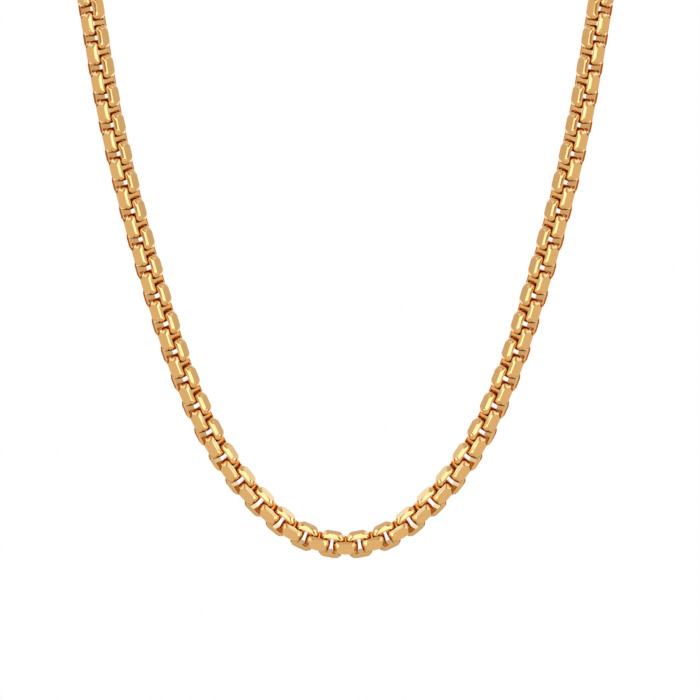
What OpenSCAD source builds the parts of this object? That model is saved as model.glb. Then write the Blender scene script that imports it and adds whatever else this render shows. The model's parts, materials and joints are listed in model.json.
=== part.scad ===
/* Box chain necklace, worn form. Square links of rounded flat wire alternate by a quarter turn and
   hold each other. The origin is on the skin at the nape, +Z is up and the front faces -Y. */

/* [Link] */
// Width of the chain across two opposite flats
chain_w = 5; // [4.8:0.05:5.2]
// Outer length of one link along the chain
link_len = 5.1; // [5.08:0.02:5.5]
// Width of the flat wire, along the link's hole
wire_w = 2.6; // [2.3:0.05:2.7]
// Thickness of the bars that cross the chain at a link's two ends
bar_t = 0.98; // [0.9:0.01:0.99]
// Outer radius of the four bends of a link
bend_r = 1.8; // [1.7:0.05:1.95]
// Radius of the plates' corners, seen square on to a plate
corner_r = 0.9; // [0.8:0.05:1.1]
// Radius of the wire's rounded edges
edge_r = 0.55; // [0.5:0.01:0.6]
// Angle at which a polished flat cuts into the wire's rounded edges, in degrees
edge_cut = 30; // [20:5:45]
// Angle at which a polished flat cuts into the link's bends, in degrees
bend_cut = 30; // [20:5:30]

/* [Chain] */
// Pairs of links on each side, between the lowest link and the last one at the ring
side_pairs = 45; // [43:1:49]
// Gap between the bars of two links that pull on each other
joint_play = 0.195; // [0.16:0.005:0.2]
// Gap between a wire's edge and the plates on its two sides
side_play = 0.17; // [0.15:0.01:0.22]
// How much closer two links sit for each radian that their joint bends
bend_closing = 0.9; // [0.8:0.05:1]
// Part of its bend that every second joint of the hanging front leaves to the joints beside it
bend_sharing = 0.3; // [0.25:0.05:0.4]

/* [Clasp] */
// Wire diameter of the ring at each end of the chain
ring_wire = 1; // [0.9:0.05:1.1]
// Inner diameter of that ring
ring_in = 5.2; // [5:0.1:5.6]
// Length of the clasp
clasp_len = 15.5; // [14:0.5:17]
// Width of the clasp over its claw
clasp_w = 6.4; // [6:0.2:7.4]
// Thickness of the clasp
clasp_t = 2.4; // [2.2:0.1:2.6]
// Thickness of the clasp's walls
clasp_wall = 1.3; // [1.2:0.1:1.5]
// Distance that the round mouth of the claw is drawn out towards the eye
claw_reach = 2.4; // [1.8:0.2:3]
// How much narrower the claw's mouth is at its inner end, on each side
claw_taper = 0.3; // [0.1:0.1:0.6]
// Diameter of the clasp's eye
eye_d = 2; // [1.8:0.1:2.4]

/* [Hidden] */
$fn = 48;

// Half of the loop, from the lowest point round to the nape: place, the way the chain's front faces
// round the neck, and how far its outer row of plates is turned outwards from there.
X = 0;
Y = 1;
Z = 2;
FACING = 3;
ROLL = 4;
ROUTE = [
    [ 0.0,  -96.6, -165.0,   0,  9.5],
    [ 8.5,  -96.5, -163.0,   0, 13.0],
    [17.2,  -96.1, -156.1,   0, 19.0],
    [24.4,  -95.7, -147.0,   0, 23.5],
    [31.9,  -94.8, -131.6,   0, 29.5],
    [37.4,  -94.0, -115.1,   0, 32.5],
    [42.2,  -93.1,  -98.2,   0, 35.0],
    [46.3,  -92.1,  -81.0,   0, 37.5],
    [50.4,  -90.2,  -57.7,   2, 39.0],
    [52.9,  -86.6,  -43.0,   9, 39.0],
    [55.1,  -79.6,  -30.0,  23, 38.0],
    [56.8,  -68.1,  -20.0,  46, 35.0],
    [57.1,  -54.0,  -13.0,  73, 30.0],
    [55.0,  -39.0,   -7.9,  95, 24.0],
    [48.2,  -24.0,   -4.2, 116, 17.0],
    [36.5,  -11.3,   -1.8, 136, 10.0],
    [19.8,   -2.2,   -0.3, 158,  3.0],
    [ 0.0,    0.0,    0.0, 180,  0.0]
];
// Chords of the smooth route between two rows
CHORDS = 24;
// Flats that make up one rounded edge of the wire
EDGE_FLATS = 2;
// How far a cutting shape reaches past what it cuts
PAST = 1;

// Sizes of a link's hole, and the distance from link to link where they pull straight
hole_w = wire_w + 2 * side_play;
hole_len = link_len - 2 * bar_t;
pitch = hole_len - joint_play;

// An odd number of links above the lowest one, so that the last has its hole towards the ring
count = 2 * round(side_pairs) + 1;

// Distance from a ring's middle to the middle of a bar or wall, this wide, that pulls on it
function seat(width) = sqrt(pow(ring_in / 2 - joint_play, 2) - pow(width / 2, 2));

// The clasp lies across the nape, with a ring at each end and then the strands
ring_x = clasp_len / 2 - clasp_wall + seat(clasp_t);
half_loop = ring_x + seat(wire_w) + hole_len / 2 + count * pitch;

function place(row) = [row[X], row[Y], row[Z]];
function span(a, b) = norm(place(a) - place(b));
function unit(v) = v / norm(v);

// A row on the other side of the middle plane, for smooth passage through the lowest point and the nape
function across(row, turn) = [-row[X], row[Y], row[Z], turn - row[FACING], row[ROLL]];

rows = concat([across(ROUTE[1], 0)], ROUTE, [across(ROUTE[len(ROUTE) - 2], 360)]);

// Change of a row for each millimetre of route, at row i
function slope(i) =
    let (a = span(rows[i - 1], rows[i]), b = span(rows[i], rows[i + 1]))
    ((rows[i] - rows[i - 1]) * b / a + (rows[i + 1] - rows[i]) * a / b) / (a + b);

// Smooth curve through the rows: u runs from 0 to 1 between row i and the next
function between(i, u) =
    let (d = span(rows[i], rows[i + 1]), m = slope(i) * d, n = slope(i + 1) * d)
    rows[i] * (1 + 2 * u) * pow(1 - u, 2) + m * u * pow(1 - u, 2)
    + rows[i + 1] * (3 - 2 * u) * u * u - n * (1 - u) * u * u;

curve = [
    for (i = [1:len(ROUTE) - 1], k = [0:CHORDS - 1]) between(i, k / CHORDS),
    ROUTE[len(ROUTE) - 1]
];
last = len(curve) - 1;

// Chord i of the curve, and the bend in radians where it starts
function step(i) = place(curve[min(i + 1, last)]) - place(curve[i]);
function bend(i) =
    i == 0 || i == last ? 0 : asin(min(1, norm(cross(unit(step(i - 1)), unit(step(i)))))) * PI / 180;

// Length of the curve and the sum of its bends, up to each of its points
arcs = [for (i = 0, s = 0; i <= last; s = s + norm(step(i)), i = i + 1) s];
bends = [for (i = 0, s = 0; i <= last; s = s + bend(i), i = i + 1) s];

// The route grows or shrinks as a whole until it takes just these links, closer in its bends
stretch = (half_loop - bend_closing * bends[last]) / arcs[last];
lengths = [for (i = [0:last]) stretch * arcs[i] + bend_closing * bends[i]];
columns = [
    for (c = [X:ROLL])
        [for (i = [0:last]) [lengths[i], (c < FACING ? stretch : 1) * curve[i][c]]]
];

function at(s) = s < 0 ? across(at(-s), 0) : [for (c = [X:ROLL]) lookup(s, columns[c])];

// Where link i and the next one cross; on the front every second crossing lies nearer to the chord
// of those beside it, so that the joints there bend by turns much and little
function crossing(i) = place(at((i + 0.5) * pitch));
function is_front(i) = at(i * pitch)[FACING] == 0;
function is_second(i) = (i >= 0 ? i : -i - 1) % 2 == 1;
function joint(i) =
    let (chord_middle = (crossing(i - 1) + crossing(i + 1)) / 2)
    crossing(i) + (is_front(i) && is_second(i) ? bend_sharing : 0) * (chord_middle - crossing(i));

// Places its child as link i: Z along the chain, X out of the link's plates
module on_chain(i) {
    a = joint(i - 1);
    b = joint(i);
    row = at(i * pitch);
    z = unit(b - a);
    ahead = [sin(row[FACING]), -cos(row[FACING]), 0];
    front = unit(ahead - (ahead * z) * z);
    out = cross(z, front);
    turn = row[ROLL] + (i % 2 == 0 ? 0 : -90);
    x = cos(turn) * front + sin(turn) * out;
    y = cross(z, x);
    c = (a + b) / 2;
    multmatrix([
        [x[0], y[0], z[0], c[0]],
        [x[1], y[1], z[1], c[1]],
        [x[2], y[2], z[2], c[2]],
        [0, 0, 0, 1]
    ]) children();
}

module rounded_square(w, l, r) {
    square([w - 2 * r, l], center = true);
    square([w, l - 2 * r], center = true);
    for (x = [-1, 1], y = [-1, 1]) translate([x * (w / 2 - r), y * (l / 2 - r)]) circle(r);
}

// One quarter of a wire-wide outline, w long, whose corner of radius r is cut by its end from an angle on
function outer_edge(w, r, cut) = [
    for (k = [0:EDGE_FLATS])
        let (t = cut + (90 - cut) * k / EDGE_FLATS)
        [w / 2 - r * (cos(cut) - cos(t)), wire_w / 2 - r * (1 - sin(t))]
];

// One quarter of a hole's section, w across inside and wider at its mouth by the wire's rounded edge
function hole_edge(w) = [
    for (k = [0:EDGE_FLATS])
        let (t = 90 * k / EDGE_FLATS)
        [w / 2 + edge_r * (1 - cos(t)), wire_w / 2 - edge_r * (1 - sin(t))],
    [w / 2 + edge_r, wire_w / 2 + PAST]
];

// The whole outline from one quarter, mirrored across both axes
function reversed(points) = [for (i = [len(points) - 1:-1:0]) points[i]];
function both_sides(points) = concat(points, reversed([for (p = points) [-p[0], p[1]]]));
function all_round(quarter) = both_sides(concat(reversed([for (p = quarter) [p[0], -p[1]]]), quarter));

module along_chain() linear_extrude(height = link_len + PAST, center = true) children();
module across_plates() rotate([0, 90, 0]) linear_extrude(height = chain_w + PAST, center = true) children();

// One link: polished plates at +X and -X, bars at +Z and -Z, hole along Y
module link() {
    bent_w = chain_w + 2 * bend_r * (1 - cos(bend_cut));
    difference() {
        intersection() {
            rotate([90, 0, 0]) linear_extrude(height = wire_w, center = true)
                rounded_square(bent_w, link_len, bend_r);
            along_chain() polygon(all_round(outer_edge(chain_w, edge_r, edge_cut)));
            across_plates() polygon(all_round(outer_edge(link_len, corner_r, 0)));
        }
        intersection() {
            along_chain() polygon(all_round(hole_edge(hole_w)));
            across_plates() polygon(all_round(hole_edge(hole_len)));
        }
    }
}

module strand(first) {
    for (i = [first:count]) on_chain(i) link();
}

// The clasp and the last links lie on the skin with their back plates
module on_skin() translate([0, chain_w / 2, 0]) children();

module end_ring() {
    on_skin() rotate_extrude() translate([(ring_in + ring_wire) / 2, 0]) circle(ring_wire / 2);
}

// Outline round two circles on the X axis, the first at x1 and the second at x2
module tapered(x1, r1, x2, r2) {
    hull() {
        translate([x1, 0]) circle(r1);
        translate([x2, 0]) circle(r2);
    }
}

// Claw with its wide round mouth on the left, narrow end with the eye on the right
module clasp_outline() {
    claw_x = (clasp_w - clasp_len) / 2;
    mouth_r = clasp_w / 2 - clasp_wall;
    eye_x = (clasp_len - eye_d) / 2 - clasp_wall;
    difference() {
        tapered(claw_x, clasp_w / 2, eye_x, eye_d / 2 + clasp_wall);
        tapered(claw_x, mouth_r, claw_x + claw_reach, mouth_r - claw_taper);
        translate([eye_x, 0]) circle(eye_d / 2);
    }
}

module links_left() color("goldenrod") on_skin() mirror([1, 0, 0]) strand(1);
module links_right() color("goldenrod") on_skin() strand(0);
module ring_left() color("gold") translate([-ring_x, 0, 0]) end_ring();
module ring_right() color("gold") translate([ring_x, 0, 0]) end_ring();
module clasp() color("gold")
    on_skin() rotate([90, 0, 0]) linear_extrude(height = clasp_t, center = true) clasp_outline();

links_left();
links_right();
ring_left();
ring_right();
clasp();
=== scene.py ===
# %% [markdown]
# # A gold box chain in Blender
# A box chain is a row of square links. Each is a piece of flat wire bent into a square, and each is
# turned by a quarter against the next. The links and the clasp are already there as plain solids, in
# metres, with the origin at the nape. This lesson gives them the form of bent and lapped wire, the
# look of polished gold, and a studio whose bright and dark sides draw the lines on the metal.

# %% Load the plain solids
import json
from math import copysign, cos, hypot, pi, radians, sin

import bmesh
import bpy
import numpy as np
from mathutils import Matrix, Vector

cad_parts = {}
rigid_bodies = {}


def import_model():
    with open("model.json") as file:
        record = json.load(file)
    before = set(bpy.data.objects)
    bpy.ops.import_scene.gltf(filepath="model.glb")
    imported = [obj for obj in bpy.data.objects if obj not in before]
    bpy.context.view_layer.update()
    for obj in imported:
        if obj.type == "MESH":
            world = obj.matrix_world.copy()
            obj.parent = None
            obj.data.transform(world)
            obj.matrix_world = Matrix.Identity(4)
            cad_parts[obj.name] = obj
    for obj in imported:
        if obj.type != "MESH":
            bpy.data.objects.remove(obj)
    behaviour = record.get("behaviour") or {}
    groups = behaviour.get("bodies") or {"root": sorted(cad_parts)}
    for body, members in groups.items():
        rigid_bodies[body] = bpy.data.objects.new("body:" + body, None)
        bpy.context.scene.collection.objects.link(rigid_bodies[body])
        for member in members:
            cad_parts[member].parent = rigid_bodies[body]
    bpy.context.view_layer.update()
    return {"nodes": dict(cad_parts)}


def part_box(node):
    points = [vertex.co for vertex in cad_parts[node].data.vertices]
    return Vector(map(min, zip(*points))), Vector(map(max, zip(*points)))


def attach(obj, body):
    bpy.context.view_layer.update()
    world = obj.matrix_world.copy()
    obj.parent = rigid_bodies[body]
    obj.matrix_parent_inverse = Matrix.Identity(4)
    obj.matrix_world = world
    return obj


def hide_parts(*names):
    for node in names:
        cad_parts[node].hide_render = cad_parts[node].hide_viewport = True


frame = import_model()
MM = 0.001
print("solids:", sorted(frame["nodes"]))

# %% [markdown]
# ## Camera
# The photograph seems to look at the hanging front from a little above and from far away; 10 degrees
# is a guess. The picture is 140 mm wide at the lowest link, which is 196 pixels of 700 below its
# middle. A long lens from 1.5 m gives the same slight growth towards the top, where the chain comes
# nearer.

# %% Camera
PICTURE = 700
PIXEL = 0.2 * MM
LOWEST_LINK = Vector((0, -94.1, -165)) * MM
LOWEST_LINK_ROW = 545.8
MIRROR_LINE_COLUMN = 345.5
CAMERA_HEIGHT_ANGLE = radians(10)
CAMERA_DISTANCE = 1.5

looks_along = Vector((0, cos(CAMERA_HEIGHT_ANGLE), -sin(CAMERA_HEIGHT_ANGLE)))
picture_up = Vector((0, sin(CAMERA_HEIGHT_ANGLE), cos(CAMERA_HEIGHT_ANGLE)))
picture_middle = LOWEST_LINK + picture_up * (LOWEST_LINK_ROW - PICTURE / 2) * PIXEL

camera = bpy.data.objects.new("camera", bpy.data.cameras.new("camera"))
camera.data.lens = camera.data.sensor_width * CAMERA_DISTANCE / (PICTURE * PIXEL)
camera.data.shift_x = (PICTURE / 2 - MIRROR_LINE_COLUMN) / PICTURE
camera.location = picture_middle - looks_along * CAMERA_DISTANCE
camera.rotation_euler = looks_along.to_track_quat("-Z", "Y").to_euler()
bpy.context.scene.collection.objects.link(camera)
bpy.context.scene.camera = camera
print("lens of", round(camera.data.lens), "mm at", tuple(round(v, 3) for v in camera.location))

# %% [markdown]
# ## Where each link is
# The two strands are solids with one loose shell for each link. A finished link has to sit exactly
# where its plain one does. A link looks the same from its front and its back, from both sides and from
# both ends, so its three axes can be measured: they are the directions in which its faces, taken
# together, point most, less and least. The link is narrowest across the wire. Of the two directions
# left, more of its surface faces out of the plates than along the chain.

# %% Measure the place of every link
SOLID_MERGE = 0.002 * MM


def shells(node):
    """The loose shells of a plain solid, each as corners of its triangles in an array of (n, 3, 3)."""
    bm = bmesh.new()
    bm.from_mesh(frame["nodes"][node].data)
    bmesh.ops.remove_doubles(bm, verts=bm.verts, dist=SOLID_MERGE)
    bmesh.ops.triangulate(bm, faces=bm.faces)
    waiting, found = set(bm.faces), []
    while waiting:
        edge_of_search = [waiting.pop()]
        shell = []
        while edge_of_search:
            face = edge_of_search.pop()
            shell.append([v.co[:] for v in face.verts])
            for edge in face.edges:
                for other in edge.link_faces:
                    if other in waiting:
                        waiting.remove(other)
                        edge_of_search.append(other)
        found.append(np.array(shell))
    bm.free()
    return found


def place_of(shell):
    """Matrix that carries a link from the origin to this shell: X out of its plates, Z along the chain."""
    twice_area = np.cross(shell[:, 1] - shell[:, 0], shell[:, 2] - shell[:, 0])
    size = np.linalg.norm(twice_area, axis=1)
    flat = size > 0
    facing = (twice_area[flat].T / size[flat]) @ twice_area[flat]
    axes = np.linalg.eigh(facing)[1].T
    along_axes = shell.reshape(-1, 3) @ axes.T
    extent = np.ptp(along_axes, axis=0)
    y = int(np.argmin(extent))
    x = max((i for i in range(3) if i != y), key=lambda i: axes[i] @ facing @ axes[i])
    z = 3 - x - y
    middle = (along_axes.min(0) + along_axes.max(0)) / 2 @ axes
    turned = np.array([axes[x], np.cross(axes[z], axes[x]), axes[z]]).T
    return Matrix.Translation(middle) @ Matrix(turned.tolist()).to_4x4()


places = {node: [place_of(s) for s in shells(node)] for node in ("links_left", "links_right")}
print("links:", {node: len(p) for node, p in places.items()})

# %% [markdown]
# ## The wire
# The links are bent from half-round wire: flat inside, where it must lie square in the hole, and domed
# outside. A circle becomes that section when the points of its inner half move to the two corners of
# a rectangle and its outer half is pressed a little squarer.

# %% Section of the wire
WIRE_W = 2.6 * MM
DOME_T = 0.6 * MM
BACK_T = 0.38 * MM
WIRE_T = DOME_T + BACK_T
SECTION_CORNERS = 8
DOME_SQUARENESS = 0.8
# Points of the circle of radius 1 that lie further back than this belong to the flat inside
INNER_HALF = -0.01
MERGE = 0.001 * MM


def wire_section(bm, at):
    """Ring of edges, thick along Z and wide along Y, with its widest line through the point at."""
    ring = bmesh.ops.create_circle(bm, cap_ends=False, segments=SECTION_CORNERS, radius=1)["verts"]
    for v in ring:
        if v.co.x < INNER_HALF:
            thick, wide = -BACK_T, copysign(1, v.co.y)
        else:
            thick = DOME_T * max(v.co.x, 0) ** DOME_SQUARENESS
            wide = copysign(abs(v.co.y) ** DOME_SQUARENESS, v.co.y)
        v.co = Vector(at) + Vector((0, wide * WIRE_W / 2, thick))
    bmesh.ops.remove_doubles(bm, verts=ring, dist=MERGE)
    return list({e for v in ring if v.is_valid for e in v.link_edges})


print("wire:", round(WIRE_W / MM, 2), "mm wide,", round(WIRE_T / MM, 2), "mm thick")

# %% [markdown]
# ## One link
# The section is drawn along a quarter of the square: half a bar, a bend, and half a plate. Two mirrors
# make the rest. The bends are wide outside but tight inside, so that the next link's bar fits squarely
# into the hole: the deeper a point lies in the wire, the further it moves to the square hole's wall.
# The outer faces of the plates are then lapped flat on a wheel: a plane cuts off their crown, and
# because the wire is domed and its bends are wide, the flat becomes a barrel shape with arched ends.
# No outline has to be drawn for it. The link is repeated 183 times, so its section has few corners and
# its bends few steps, and the rim of a flat is a coarse one of straight edges.

# %% Make the link
CHAIN_W = 5 * MM
LINK_LEN = 5.1 * MM
BEND_R = 1.7 * MM
BEND_STEPS = 3
LAPPED_OFF = 0.26 * MM
HOLE_W = 3.04 * MM
HOLE_SQUARENESS = 0.3
WIRE_SLOT, FLAT_SLOT, BAR_SLOT = 0, 1, 2
# Faces that meet at less than this are shaded as one round surface
SHARP = radians(50)
ON_THE_CUT = 0.0005 * MM
BENT_X = CHAIN_W / 2 + LAPPED_OFF - BEND_R
BENT_Z = LINK_LEN / 2 - BEND_R


def moved_on(bm, edges, step):
    """Extrudes a ring of edges by one straight step and returns the new ring."""
    new = bmesh.ops.extrude_edge_only(bm, edges=edges)["geom"]
    bmesh.ops.translate(bm, verts=[g for g in new if isinstance(g, bmesh.types.BMVert)], vec=step)
    return [g for g in new if isinstance(g, bmesh.types.BMEdge)]


def past_straight(co):
    """How far a point lies past the straight parts of the wire, across the plates and along the chain."""
    return max(abs(co.x) - BENT_X, 0), max(abs(co.z) - BENT_Z, 0)


def squared_hole(co):
    """Where a point of the evenly bent wire lies once the hole is square."""
    out_x, out_z = past_straight(co)
    out = hypot(out_x, out_z)
    along_x, along_z = out_x / out, out_z / out
    deep = (BEND_R - out) / WIRE_T
    wall_x = (HOLE_W / 2 - BENT_X) * along_x ** HOLE_SQUARENESS
    wall_z = (BEND_R - WIRE_T) * along_z ** HOLE_SQUARENESS
    x = min(abs(co.x), BENT_X) + (1 - deep) * BEND_R * along_x + deep * wall_x
    z = min(abs(co.z), BENT_Z) + (1 - deep) * BEND_R * along_z + deep * wall_z
    return Vector((copysign(x, co.x), co.y, copysign(z, co.z)))


def lapped(bm, side):
    """Cuts the crown off the plate at side * X and closes it with one flat face."""
    everything = bm.verts[:] + bm.edges[:] + bm.faces[:]
    cut = bmesh.ops.bisect_plane(bm, geom=everything, dist=ON_THE_CUT, plane_co=(side * CHAIN_W / 2, 0, 0),
                                 plane_no=(side, 0, 0), clear_outer=True)["geom_cut"]
    rim = [g for g in cut if isinstance(g, bmesh.types.BMEdge)]
    flat = bmesh.ops.edgeloop_fill(bm, edges=rim)["faces"]
    for face in flat:
        face.material_index = FLAT_SLOT
        face.smooth = False
        for edge in face.edges:
            edge.smooth = False
    return len(rim)


def make_link():
    """Mesh of one link: flats at +X and -X, bars at +Z and -Z, hole along Y."""
    bm = bmesh.new()
    ring = wire_section(bm, (0, 0, LINK_LEN / 2 - DOME_T))
    ring = moved_on(bm, ring, (BENT_X, 0, 0))
    bend = bmesh.ops.spin(bm, geom=ring, cent=(BENT_X, 0, BENT_Z), axis=(0, 1, 0), angle=pi / 2,
                          steps=BEND_STEPS, use_merge=False)["geom_last"]
    moved_on(bm, [g for g in bend if isinstance(g, bmesh.types.BMEdge)], (0, 0, -BENT_Z))
    for axis in "XZ":
        bmesh.ops.mirror(bm, geom=bm.verts[:] + bm.edges[:] + bm.faces[:], matrix=Matrix.Identity(4),
                         merge_dist=MERGE, axis=axis)
    seams = [e for e in bm.edges for i in (0, 2) if all(abs(v.co[i]) < MERGE for v in e.verts)]
    bmesh.ops.dissolve_edges(bm, edges=seams, use_verts=True)
    for face in bm.faces:
        out_x, out_z = past_straight(face.calc_center_median())
        # Bar faces get the material whose deeper colour is painted shade between the links
        face.material_index = BAR_SLOT if out_x < out_z / 2 else WIRE_SLOT
        face.smooth = True
    for v in bm.verts:
        v.co = squared_hole(v.co)
    bmesh.ops.recalc_face_normals(bm, faces=bm.faces)
    for edge in bm.edges:
        edge.smooth = edge.calc_face_angle() < SHARP
    rim = lapped(bm, 1), lapped(bm, -1)
    mesh = bpy.data.meshes.new("link")
    bm.to_mesh(mesh)
    bm.free()
    print("link:", len(mesh.polygons), "faces, rims of", rim, "edges")
    return mesh


link = make_link()

# %% [markdown]
# ## Two strands
# A strand is one mesh of many links. Copying the link's mesh into one bmesh and moving each copy to
# its measured place keeps the object itself at the origin, unturned.

# %% Thread the strands
def finished(name, mesh, node):
    """A finished piece in place of a plain solid."""
    piece = bpy.data.objects.new(name, mesh)
    bpy.context.scene.collection.objects.link(piece)
    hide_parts(node)
    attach(piece, "root")
    return piece


def make_strand(name, node):
    """One finished strand, with a link at every place that was measured on its solid."""
    bm = bmesh.new()
    for place in places[node]:
        before = len(bm.verts)
        bm.from_mesh(link)
        bm.verts.ensure_lookup_table()
        bmesh.ops.transform(bm, matrix=place, verts=bm.verts[before:])
    mesh = bpy.data.meshes.new(name)
    bm.to_mesh(mesh)
    bm.free()
    print(name + ":", len(mesh.polygons), "faces")
    return finished(name, mesh, node)


left_strand = make_strand("left_strand", "links_left")
right_strand = make_strand("right_strand", "links_right")

# %% [markdown]
# ## Rings
# Two closed rings join the strands to the clasp. They are hidden behind the neck, and are taken to be
# bent from round wire and soldered shut. Here each is a circle of wire spun once round, with the size
# and place of its plain solid.

# %% Make the rings
RING_SECTION = 12
RING_STEPS = 40


def make_ring(name, node):
    """One finished ring, lying flat, as thick as its solid is high."""
    low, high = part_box(node)
    middle = (low + high) / 2
    wire = high.z - low.z
    bm = bmesh.new()
    section = bmesh.ops.create_circle(bm, cap_ends=False, segments=RING_SECTION, radius=wire / 2)["verts"]
    bmesh.ops.rotate(bm, verts=section, cent=(0, 0, 0), matrix=Matrix.Rotation(pi / 2, 3, "X"))
    bmesh.ops.translate(bm, verts=section, vec=((high.x - low.x - wire) / 2, 0, 0))
    bmesh.ops.spin(bm, geom=bm.verts[:] + bm.edges[:], cent=(0, 0, 0), axis=(0, 0, 1), angle=2 * pi,
                   steps=RING_STEPS, use_merge=True)
    bmesh.ops.remove_doubles(bm, verts=bm.verts, dist=MERGE)
    bmesh.ops.recalc_face_normals(bm, faces=bm.faces)
    bmesh.ops.translate(bm, verts=bm.verts, vec=middle)
    for face in bm.faces:
        face.smooth = True
    mesh = bpy.data.meshes.new(name)
    bm.to_mesh(mesh)
    bm.free()
    print(name + ":", len(mesh.polygons), "faces")
    return finished(name, mesh, node)


left_ring = make_ring("left_ring", "ring_left")
right_ring = make_ring("right_ring", "ring_right")

# %% [markdown]
# ## Clasp
# The clasp is hidden behind the neck. It is taken to be cast and tumbled, which leaves no sharp edge.
# A new shape could be drawn for it, but its plain solid is right already: a copy of it, merged and
# freed of its triangles, gets all its soft edges from one bevel.

# %% Soften the clasp
CLASP_ROUND = 0.45 * MM
CLASP_ROUND_STEPS = 3
COPLANAR = radians(2)


def make_clasp():
    """The finished clasp, from a copy of its solid."""
    bm = bmesh.new()
    bm.from_mesh(frame["nodes"]["clasp"].data)
    bmesh.ops.remove_doubles(bm, verts=bm.verts, dist=SOLID_MERGE)
    bmesh.ops.dissolve_limit(bm, angle_limit=COPLANAR, use_dissolve_boundaries=False, verts=bm.verts,
                             edges=bm.edges, delimit={"NORMAL"})
    rims = [e for e in bm.edges if len(e.link_faces) == 2 and e.calc_face_angle() > SHARP]
    bmesh.ops.bevel(bm, geom=rims, offset=CLASP_ROUND, offset_type="OFFSET", segments=CLASP_ROUND_STEPS,
                    profile=0.5, affect="EDGES", material=-1, clamp_overlap=True)
    bmesh.ops.recalc_face_normals(bm, faces=bm.faces)
    for face in bm.faces:
        face.smooth = True
    mesh = bpy.data.meshes.new("clasp_body")
    bm.to_mesh(mesh)
    bm.free()
    print("clasp_body:", len(mesh.polygons), "faces from", len(rims), "rim edges")
    return finished("clasp_body", mesh, "clasp")


clasp_body = make_clasp()

# %% [markdown]
# ## Gold
# The wire is taken to be brass, plated with yellow gold and polished. Gold swallows blue light at each
# bounce, so the outside of the links is tan, and where light has bounced between two links it turns
# orange, then dark red. The lapped flats carry the grain of the wheel, which spreads their shine a
# little; the bent wire is a mirror with a faint waviness from bending. No wheel reaches the bars
# between the links, so their surface is drawn duller. Their deeper orange colour is painted shade and
# painted reflection: it stands in for the light that bounces between the links, and is a guess that
# brings some of the photograph's orange into the gaps. A wheel's real grain is a few hundredths of a
# millimetre wide. It is drawn 0.12 mm wide here, and the waviness half a millimetre or more, because a
# pixel is 0.2 mm and anything finer is lost.

# %% Colours and nodes
def linear(hex_colour):
    """sRGB hex colour as the linear RGBA that a shader expects."""
    parts = [int(hex_colour[i:i + 2], 16) / 255 for i in (1, 3, 5)]
    return (*[p / 12.92 if p <= 0.04045 else ((p + 0.055) / 1.055) ** 2.4 for p in parts], 1)


def add(tree, kind, settings={}, links={}):
    """A node of this kind with its settings, and what comes in at its sockets, by name or number."""
    node = tree.nodes.new(kind)
    for name, value in settings.items():
        if isinstance(name, int) or name in node.inputs:
            node.inputs[name].default_value = value
        else:
            setattr(node, name, value)
    for name, source in links.items():
        tree.links.new(source, node.inputs[name])
    return node


WHITE = (1, 1, 1, 1)
GOLD = "#F7C27A"
# Deeper orange of the bars: painted shade and painted reflection for light bounced between the links
GAP_SHADE_PAINTED_GOLD = "#D4821F"
print("gold in linear colour:", [round(part, 3) for part in linear(GOLD)])

# %% [markdown]
# ## Finishes
# All four finishes are plated gold and differ in how the surface was made; the bars also differ in
# colour, a deeper orange that is painted shade and painted reflection between the links. One noise
# pattern varies the bump and the roughness together, as grain does. It reads Object coordinates, so it
# needs no map of the surface and keeps its real size on every piece.

# %% Finishes
GRAIN_DETAIL = 3.0
GRAIN_STRENGTH = 0.6


def gold_plate(name, colour, roughness, grain_mm, grain_height_mm, grain_roughness):
    """Plated gold whose bump and roughness vary over grain_mm."""
    material = bpy.data.materials.new(name)
    material.use_nodes = True
    tree = material.node_tree
    tree.nodes.clear()
    place = add(tree, "ShaderNodeTexCoord")
    grain = add(tree, "ShaderNodeTexNoise", {"Scale": 1 / (grain_mm * MM), "Detail": GRAIN_DETAIL},
                {"Vector": place.outputs["Object"]})
    bump = add(tree, "ShaderNodeBump", {"Strength": GRAIN_STRENGTH, "Distance": grain_height_mm * MM},
               {"Height": grain.outputs["Fac"]})
    rough = add(tree, "ShaderNodeMapRange", {"To Min": roughness - grain_roughness,
                                             "To Max": roughness + grain_roughness},
                {"Value": grain.outputs["Fac"]})
    metal = add(tree, "ShaderNodeBsdfPrincipled", {"Base Color": linear(colour), "Metallic": 1.0},
                {"Roughness": rough.outputs["Result"], "Normal": bump.outputs["Normal"]})
    add(tree, "ShaderNodeOutputMaterial", {}, {"Surface": metal.outputs["BSDF"]})
    return material


bent_wire = gold_plate("polished gold plate on bent wire", GOLD, 0.09, 0.5, 0.004, 0.03)
lapped_flat = gold_plate("polished gold plate on lapped flats", GOLD, 0.2, 0.12, 0.002, 0.06)
# The bars are rougher because they are unpolished; their deeper colour is painted shade and painted
# reflection between the links
rough_bar_with_painted_shade = gold_plate("unpolished gold plate on bars", GAP_SHADE_PAINTED_GOLD, 0.22, 0.5, 0.004, 0.04)
tumbled = gold_plate("polished gold plate on tumbled castings", GOLD, 0.12, 0.6, 0.006, 0.04)

for strand in (left_strand, right_strand):
    for finish in (bent_wire, lapped_flat, rough_bar_with_painted_shade):
        strand.data.materials.append(finish)
for piece in (left_ring, right_ring, clasp_body):
    piece.data.materials.append(tumbled)
print("materials:", [m.name for m in (bent_wire, lapped_flat, rough_bar_with_painted_shade, tumbled)])

# %% [markdown]
# ## Studio
# Polished metal shows only what is round it, and the photograph doesn't show its studio, so this one is
# guessed from the marks on the links. It is a pale room with two bright strips that run left and right
# overhead. Behind the necklace hangs a brown curtain with a bright backdrop in its middle: the wire's
# far edges show it, and so each link stands out from the next. Round the camera it is dark at eye
# level, which draws the thin streaks beside the flats. An image could light the room, but zones of
# plain colour with soft borders are easy to move. The camera itself sees plain white.

# %% World
ROOM = 0.77
ROOM_BEHIND = 0.65
BACKDROP = 1.3
DAYLIGHT = (0.72, 0.97, 1.4)
WINDOW = 1.4
CURTAIN = (0.45, 0.18, 0.03)
CAMERA_SIDE = (0.45, 0.36, 0.25)
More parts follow.
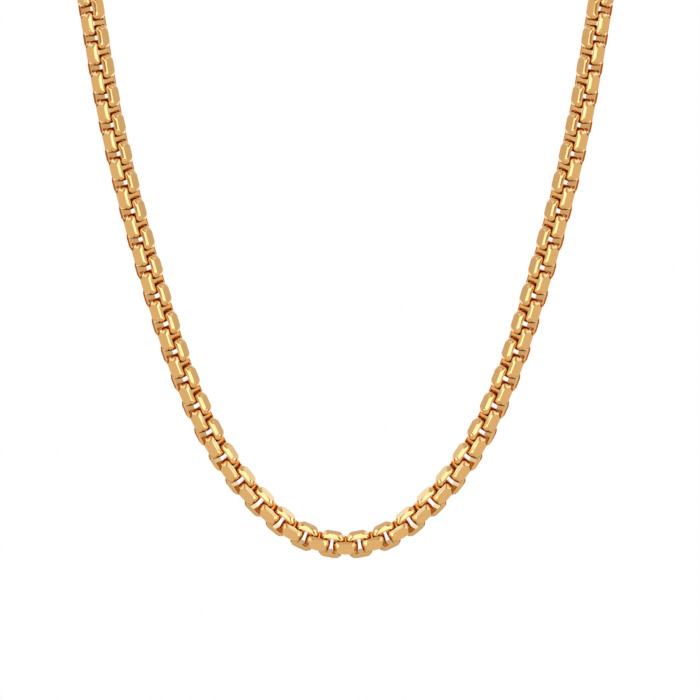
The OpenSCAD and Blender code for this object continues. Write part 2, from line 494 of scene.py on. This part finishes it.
# Colour and borders of each zone, a later one over those before it. A border is an axis, the part of a
# direction along it where the colour begins, and where it is full. Aside is X, the same on both sides.
ZONES = {
    "room behind": ([ROOM_BEHIND] * 3, [("Y", 0.05, 0.2)]),
    "curtain": (CURTAIN, [("Y", 0.0, 0.1), ("Z", -0.6, -0.5), ("Z", 0.4, 0.3)]),
    "backdrop": ([BACKDROP] * 3, [("Y", 0.4, 0.5), ("aside", 0.6, 0.5), ("Z", 0.3, 0.2)]),
    "camera side": (CAMERA_SIDE, [("Y", 0.0, -0.15), ("Z", -0.3, -0.24), ("Z", 0.34, 0.26),
                                  ("aside", 0.84, 0.78)]),
    "hood": (CAMERA_SIDE, [("Y", 0.0, -0.15), ("Z", 0.26, 0.34), ("aside", 0.18, 0.12)]),
    "strips": ([WINDOW * c for c in DAYLIGHT], [("Z", 0.28, 0.4), ("aside", 0.3, 0.5)]),
}


def make_world():
    """The studio as the metal sees it, and plain white for the camera."""
    world = bpy.data.worlds.new("studio")
    world.use_nodes = True
    bpy.context.scene.world = world
    tree = world.node_tree
    tree.nodes.clear()
    direction = add(tree, "ShaderNodeTexCoord")
    axes = add(tree, "ShaderNodeSeparateXYZ", {}, {"Vector": direction.outputs["Generated"]}).outputs
    aside = add(tree, "ShaderNodeMath", {"operation": "ABSOLUTE"}, {0: axes["X"]}).outputs["Value"]
    along = {"Y": axes["Y"], "Z": axes["Z"], "aside": aside}
    seen = add(tree, "ShaderNodeRGB").outputs[0]
    seen.default_value = (ROOM, ROOM, ROOM, 1)
    for colour, borders in ZONES.values():
        part = None
        for axis, begins, full in borders:
            inside = add(tree, "ShaderNodeMapRange", {"interpolation_type": "SMOOTHSTEP", "From Min": begins,
                                                      "From Max": full}, {"Value": along[axis]}).outputs[0]
            if part is None:
                part = inside
            else:
                part = add(tree, "ShaderNodeMath", {"operation": "MULTIPLY"}, {0: part, 1: inside}).outputs[0]
        seen = add(tree, "ShaderNodeMix", {"data_type": "RGBA", 7: (*colour, 1)},
                   {0: part, 6: seen}).outputs[2]
    lit = add(tree, "ShaderNodeBackground", {"Strength": 1.0}, {"Color": seen})
    white = add(tree, "ShaderNodeBackground", {"Color": WHITE, "Strength": 1.0})
    ray = add(tree, "ShaderNodeLightPath")
    split = add(tree, "ShaderNodeMixShader", {}, {0: ray.outputs["Is Camera Ray"],
                                                  1: lit.outputs["Background"],
                                                  2: white.outputs["Background"]})
    add(tree, "ShaderNodeOutputWorld", {}, {"Surface": split.outputs["Shader"]})


make_world()
print("world:", len(ZONES), "zones in the pale room:", ", ".join(ZONES))

# %% [markdown]
# ## Floor
# The necklace hangs well above a plain floor of pale matt paper, which sends warm light up to it. The
# camera sees the paper as white as the world, so no horizon crosses the picture. The Standard view
# keeps that white white.

# %% Floor
FLOOR_Z = -0.6
FLOOR_SIZE = 1
PAPER = "#E9DFCE"


def make_floor():
    """One square of paper, for the stage only."""
    bm = bmesh.new()
    bmesh.ops.create_grid(bm, x_segments=1, y_segments=1, size=FLOOR_SIZE / 2)
    bmesh.ops.translate(bm, verts=bm.verts, vec=(0, 0, FLOOR_Z))
    mesh = bpy.data.meshes.new("floor")
    bm.to_mesh(mesh)
    bm.free()
    material = bpy.data.materials.new("matt white paper")
    material.use_nodes = True
    tree = material.node_tree
    tree.nodes.clear()
    paper = add(tree, "ShaderNodeBsdfDiffuse", {"Color": linear(PAPER)})
    white = add(tree, "ShaderNodeEmission", {"Color": WHITE, "Strength": 1.0})
    ray = add(tree, "ShaderNodeLightPath")
    seen = add(tree, "ShaderNodeMixShader", {}, {0: ray.outputs["Is Camera Ray"],
                                                 1: paper.outputs["BSDF"],
                                                 2: white.outputs["Emission"]})
    add(tree, "ShaderNodeOutputMaterial", {}, {"Surface": seen.outputs["Shader"]})
    mesh.materials.append(material)
    floor = bpy.data.objects.new("floor", mesh)
    bpy.context.scene.collection.objects.link(floor)


make_floor()
bpy.context.scene.view_settings.view_transform = "Standard"
print("floor:", FLOOR_SIZE, "m wide, at", FLOOR_Z, "m")

# %% [markdown]
# ## Soft boxes
# The photograph shows one half of the necklace mirrored, so its light is mirrored too: on each strand
# the bright edges face the middle. Each strand has soft boxes of its own: one nearly in front, one at
# the side that its bright edges face, and a dim one before the curtain that its inner flats face. The
# dim one has the colour that the curtain lacks, so these flats look as they do before a pale wall.
# Light linking keeps all of them off the other strand.

# %% Soft boxes
BOX_DISTANCE = 1.0
BOX_H = 0.9
# Height of the point that the boxes face above the lowest link, and how much they rise from it
FACED_HEIGHT = 0.06
BOX_RISE = 0.05
# Angle round from straight ahead in degrees, width, brightness and colour
BOXES = {"front": (-13, 0.83, 1.4, DAYLIGHT),
         "side": (49, 0.68, 1.4, DAYLIGHT),
         "curtain": (108, 0.8, 1.0, (0.2, 0.47, 0.62))}


def soft_box(name, angle, width, radiance, colour, strand):
    """A rectangle of light that falls on this strand only; returns its power."""
    light = bpy.data.lights.new(name, "AREA")
    light.shape = "RECTANGLE"
    light.size = width
    light.size_y = BOX_H
    light.energy = radiance * pi * width * BOX_H
    light.color = colour
    box = bpy.data.objects.new(name, light)
    towards_box = Vector((sin(radians(angle)), -cos(radians(angle)), BOX_RISE))
    box.location = LOWEST_LINK + Vector((0, 0, FACED_HEIGHT)) + towards_box * BOX_DISTANCE
    box.rotation_euler = (-towards_box).to_track_quat("-Z", "Y").to_euler()
    box.visible_camera = False
    bpy.context.scene.collection.objects.link(box)
    lit = bpy.data.collections.new(name + " lights")
    lit.objects.link(strand)
    box.light_linking.receiver_collection = lit
    return light.energy


for strand, side in ((left_strand, 1), (right_strand, -1)):
    for box, (angle, *face) in BOXES.items():
        watts = soft_box(box + " soft box for " + strand.name, side * angle, *face, strand)
        print(box, "soft box for", strand.name, "at", side * angle, "degrees:", round(watts, 1), "W")
